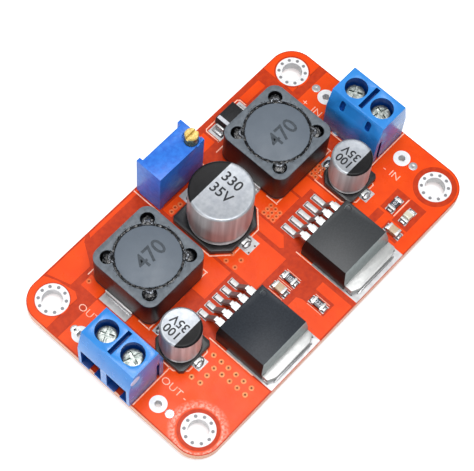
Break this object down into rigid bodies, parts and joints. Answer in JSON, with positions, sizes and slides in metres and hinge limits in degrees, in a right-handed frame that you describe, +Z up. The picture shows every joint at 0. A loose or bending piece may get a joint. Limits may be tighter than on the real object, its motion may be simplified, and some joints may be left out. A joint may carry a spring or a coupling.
{
  "type": "buck converter module",
  "caption": "Voltage converter on a bare circuit board, with shielded inductors, can capacitors, regulators, a multi-turn trimmer and a screw terminal at either end.",
  "frame": {"origin": "centre of the four mounting holes, on the underside of the board", "axes": "+X from the output terminal to the input terminal, +Y towards the trimmer's edge, +Z up from the board to its parts"},
  "size_m": [0.0619, 0.0372, 0.0147],
  "materials": {
    "solder_mask": "orange-red solder mask over copper, pale fibreglass at the cut edge",
    "tinned_copper": "levelled tin, slightly uneven",
    "solder": "bright solder",
    "terminal_plastic": "blue moulded plastic, satin",
    "screw_steel": "zinc-plated",
    "clamp_steel": "zinc-plated",
    "tinned_leads": "matte tin",
    "ferrite": "ground grey ferrite with a glossy coat",
    "drum_ferrite": "paler grey ferrite",
    "enamelled_wire": "enamelled copper wire",
    "black_base": "black moulded plastic",
    "can_aluminium": "drawn, finely brushed",
    "regulator_moulding": "dark moulding compound",
    "rectifier_moulding": "black moulding compound",
    "resistor_glaze": "black glaze",
    "capacitor_ceramic": "fired beige ceramic",
    "indicator_white": "white laminate",
    "indicator_resin": "clear resin",
    "trimmer_plastic": "bright blue moulded plastic, satin",
    "brass": "turned brass",
    "seal_rubber": "black",
    "rotor_plastic": "ivory moulded plastic",
    "element_ceramic": "white alumina",
    "sealing_resin": "amber potting resin"
  },
  "bodies": {
    "module": {"circuit_board": "solder_mask", "mounting_hole_plating": "tinned_copper", "wire_hole_plating": "tinned_copper", "pin_hole_plating": "tinned_copper", "solder_pads": "tinned_copper", "pin_solder": "solder", "output_terminal_housing": "terminal_plastic", "input_terminal_housing": "terminal_plastic", "output_terminal_contacts": "tinned_leads", "input_terminal_contacts": "tinned_leads", "output_inductor_shield": "ferrite", "output_inductor_drum": "drum_ferrite", "output_inductor_winding": "enamelled_wire", "output_inductor_base": "black_base", "output_inductor_tabs": "tinned_leads", "input_inductor_shield": "ferrite", "input_inductor_drum": "drum_ferrite", "input_inductor_winding": "enamelled_wire", "input_inductor_base": "black_base", "input_inductor_tabs": "tinned_leads", "main_capacitor_can": "can_aluminium", "main_capacitor_base": "black_base", "main_capacitor_leads": "tinned_leads", "output_capacitor_can": "can_aluminium", "output_capacitor_base": "black_base", "output_capacitor_leads": "tinned_leads", "input_capacitor_can": "can_aluminium", "input_capacitor_base": "black_base", "input_capacitor_leads": "tinned_leads", "step_down_regulator_body": "regulator_moulding", "step_down_regulator_frame": "tinned_leads", "step_up_regulator_body": "regulator_moulding", "step_up_regulator_frame": "tinned_leads", "rectifier_body": "rectifier_moulding", "rectifier_leads": "tinned_leads", "chip_resistor_bodies": "resistor_glaze", "chip_resistor_ends": "tinned_leads", "chip_capacitor_bodies": "capacitor_ceramic", "chip_capacitor_ends": "tinned_leads", "indicator_base": "indicator_white", "indicator_lens": "indicator_resin", "indicator_ends": "tinned_leads", "trimmer_housing": "trimmer_plastic", "trimmer_element": "element_ceramic", "trimmer_pins": "tinned_leads", "trimmer_base_seal": "sealing_resin"},
    "output_back_screw": {"output_back_screw": "screw_steel"},
    "output_back_clamp": {"output_back_clamp": "clamp_steel"},
    "output_front_screw": {"output_front_screw": "screw_steel"},
    "output_front_clamp": {"output_front_clamp": "clamp_steel"},
    "input_back_screw": {"input_back_screw": "screw_steel"},
    "input_back_clamp": {"input_back_clamp": "clamp_steel"},
    "input_front_screw": {"input_front_screw": "screw_steel"},
    "input_front_clamp": {"input_front_clamp": "clamp_steel"},
    "adjusting_screw": {"trimmer_screw": "brass", "trimmer_screw_seal": "seal_rubber"},
    "trimmer_rotor": {"trimmer_rotor": "rotor_plastic", "trimmer_wiper": "brass"}
  },
  "joints": [
    {"name": "output_back_screw_turn", "type": "hinge", "parent": "module", "child": "output_back_screw", "pos_m": [-0.02755, 0.00254, 0.00865], "axis": [0, 0, -1], "range_deg": [0, 1360.1]},
    {"name": "output_back_clamp_rise", "type": "slide", "parent": "module", "child": "output_back_clamp", "axis": [0, 0, 1], "range_m": [0, 0.0017]},
    {"name": "output_front_screw_turn", "type": "hinge", "parent": "module", "child": "output_front_screw", "pos_m": [-0.02755, -0.00254, 0.00865], "axis": [0, 0, -1], "range_deg": [0, 1360.1]},
    {"name": "output_front_clamp_rise", "type": "slide", "parent": "module", "child": "output_front_clamp", "axis": [0, 0, 1], "range_m": [0, 0.0017]},
    {"name": "input_back_screw_turn", "type": "hinge", "parent": "module", "child": "input_back_screw", "pos_m": [0.02665, 0.00254, 0.00865], "axis": [0, 0, -1], "range_deg": [0, 1360.1]},
    {"name": "input_back_clamp_rise", "type": "slide", "parent": "module", "child": "input_back_clamp", "axis": [0, 0, 1], "range_m": [0, 0.0017]},
    {"name": "input_front_screw_turn", "type": "hinge", "parent": "module", "child": "input_front_screw", "pos_m": [0.02665, -0.00254, 0.00865], "axis": [0, 0, -1], "range_deg": [0, 1360.1]},
    {"name": "input_front_clamp_rise", "type": "slide", "parent": "module", "child": "input_front_clamp", "axis": [0, 0, 1], "range_m": [0, 0.0017]},
    {"name": "adjusting_screw_turn", "type": "hinge", "parent": "module", "child": "adjusting_screw", "pos_m": [0.00301, 0.01472, 0.00666], "axis": [0, 0, 1], "range_deg": [-4499, 4499]},
    {"name": "trimmer_rotor_turn", "type": "hinge", "parent": "module", "child": "trimmer_rotor", "pos_m": [-0.00042, 0.01472, 0.00666], "axis": [0, 1, 0], "range_deg": [-150, 150]}
  ],
  "couplings": [
    {"joint": "output_back_screw_turn", "follows": "output_back_clamp_rise", "rad_per_m": 13963},
    {"joint": "output_front_screw_turn", "follows": "output_front_clamp_rise", "rad_per_m": 13963},
    {"joint": "input_back_screw_turn", "follows": "input_back_clamp_rise", "rad_per_m": 13963},
    {"joint": "input_front_screw_turn", "follows": "input_front_clamp_rise", "rad_per_m": 13963},
    {"joint": "trimmer_rotor_turn", "follows": "adjusting_screw_turn", "ratio": 0.033333}
  ]
}
